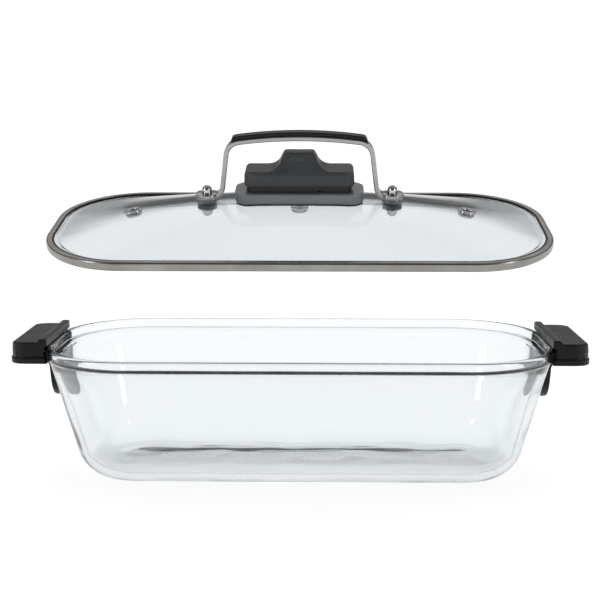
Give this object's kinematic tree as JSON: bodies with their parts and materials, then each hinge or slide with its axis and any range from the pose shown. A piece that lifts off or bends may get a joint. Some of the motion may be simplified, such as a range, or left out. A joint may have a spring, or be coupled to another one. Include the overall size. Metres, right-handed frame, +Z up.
{
  "type": "covered glass loaf dish",
  "caption": "Clear glass loaf pan with slip-on end grips and a steel-rimmed domed glass lid that has a bow handle and a sliding steam valve.",
  "frame": {"origin": "centre of the dish's flat underside", "axes": "+X along the dish's length, +Y to the back, +Z up"},
  "size_m": [0.34, 0.1418, 0.2036],
  "materials": {
    "dish_glass": "clear polished soda-lime glass",
    "lid_glass": "clear polished tempered glass",
    "rim_steel": "satin, rolled edges",
    "satin_steel": "satin, brushed along the bar",
    "bright_steel": "polished",
    "black_inlay": "black, semi-gloss",
    "soft_touch_plastic": "dark grey soft-touch",
    "grey_plastic": "mid grey, moulded",
    "seal_silicone": "black silicone",
    "grip_silicone": "matt black moulded silicone"
  },
  "bodies": {
    "dish": {"glass_dish": "dish_glass"},
    "left_grip": {"left_grip": "grip_silicone"},
    "right_grip": {"right_grip": "grip_silicone"},
    "lid": {"lid_glass": "lid_glass", "lid_rim_band": "rim_steel", "lid_rim_seal": "seal_silicone", "left_vent_eyelet": "bright_steel", "right_vent_eyelet": "bright_steel", "handle_bow": "satin_steel", "handle_inlay": "black_inlay", "left_handle_screw": "bright_steel", "right_handle_screw": "bright_steel", "left_upper_washer": "grey_plastic", "right_upper_washer": "grey_plastic", "left_lower_washer": "grey_plastic", "right_lower_washer": "grey_plastic", "left_cap_nut": "bright_steel", "right_cap_nut": "bright_steel", "valve_seat": "grey_plastic", "valve_seat_gasket": "seal_silicone"},
    "steam_slider": {"slider_knob": "soft_touch_plastic", "slider_gasket": "seal_silicone", "slider_stud": "bright_steel", "slider_washer": "bright_steel", "slider_spring_washer": "bright_steel", "slider_nut": "bright_steel"}
  },
  "joints": [
    {"name": "lid_lift", "type": "hinge", "parent": "dish", "child": "lid", "pos_m": [0, -0.311, 0.0738], "axis": [1, 0, 0], "range_deg": [-13, 6]},
    {"name": "steam_slide", "type": "slide", "parent": "lid", "child": "steam_slider", "axis": [1, 0, 0], "range_m": [-0.005, 0.005]},
    {"name": "left_grip_pull", "type": "slide", "parent": "dish", "child": "left_grip", "axis": [-1, 0, 0], "range_m": [0, 0.045]},
    {"name": "right_grip_pull", "type": "slide", "parent": "dish", "child": "right_grip", "axis": [1, 0, 0], "range_m": [0, 0.045]}
  ]
}
